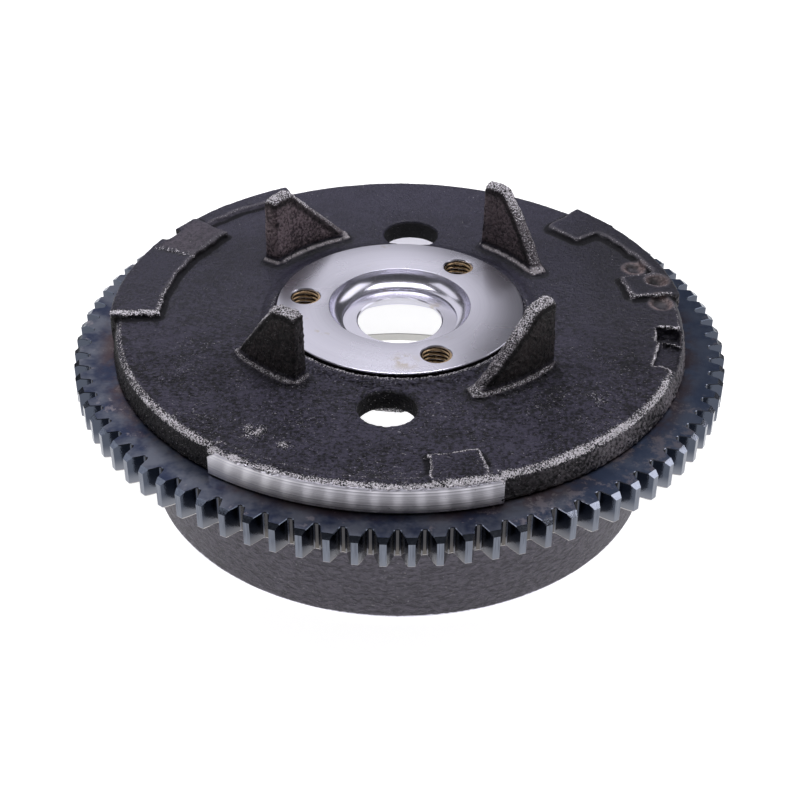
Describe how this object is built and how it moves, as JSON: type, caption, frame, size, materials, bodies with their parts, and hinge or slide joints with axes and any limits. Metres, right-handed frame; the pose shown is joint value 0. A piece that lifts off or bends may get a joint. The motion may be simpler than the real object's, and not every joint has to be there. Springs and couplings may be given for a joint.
{
  "type": "flywheel",
  "caption": "Cast-iron engine flywheel with a shrunk-on starter ring gear, a bolted hub with a stepped recess, upright lugs on the web and charging magnets inside the skirt.",
  "frame": {"origin": "centre of the skirt's mouth, on the surface that the flywheel stands on", "axes": "+Z along the shaft's axis towards the hub's machined face; -Y towards the middle of the machined band on the rim"},
  "size_m": [0.215, 0.215, 0.084],
  "materials": {
    "cast_iron": "dark rough casting, with turned bright faces on the hub and on part of the rim",
    "gear_steel": "blued, heat-tinted hardened steel",
    "ferrite": "matt ceramic magnet",
    "nylon": "moulded, natural white, matt",
    "stainless": "rolled sheet, bright"
  },
  "bodies": {
    "root": {"flywheel_casting": "cast_iron", "ring_gear": "gear_steel", "magnet_01": "ferrite", "magnet_02": "ferrite", "magnet_03": "ferrite", "magnet_04": "ferrite", "magnet_05": "ferrite", "magnet_06": "ferrite", "magnet_07": "ferrite", "magnet_08": "ferrite", "magnet_09": "ferrite", "magnet_10": "ferrite", "magnet_11": "ferrite", "magnet_12": "ferrite", "magnet_retainer": "nylon", "magnet_sleeve": "stainless"}
  },
  "joints": []
}
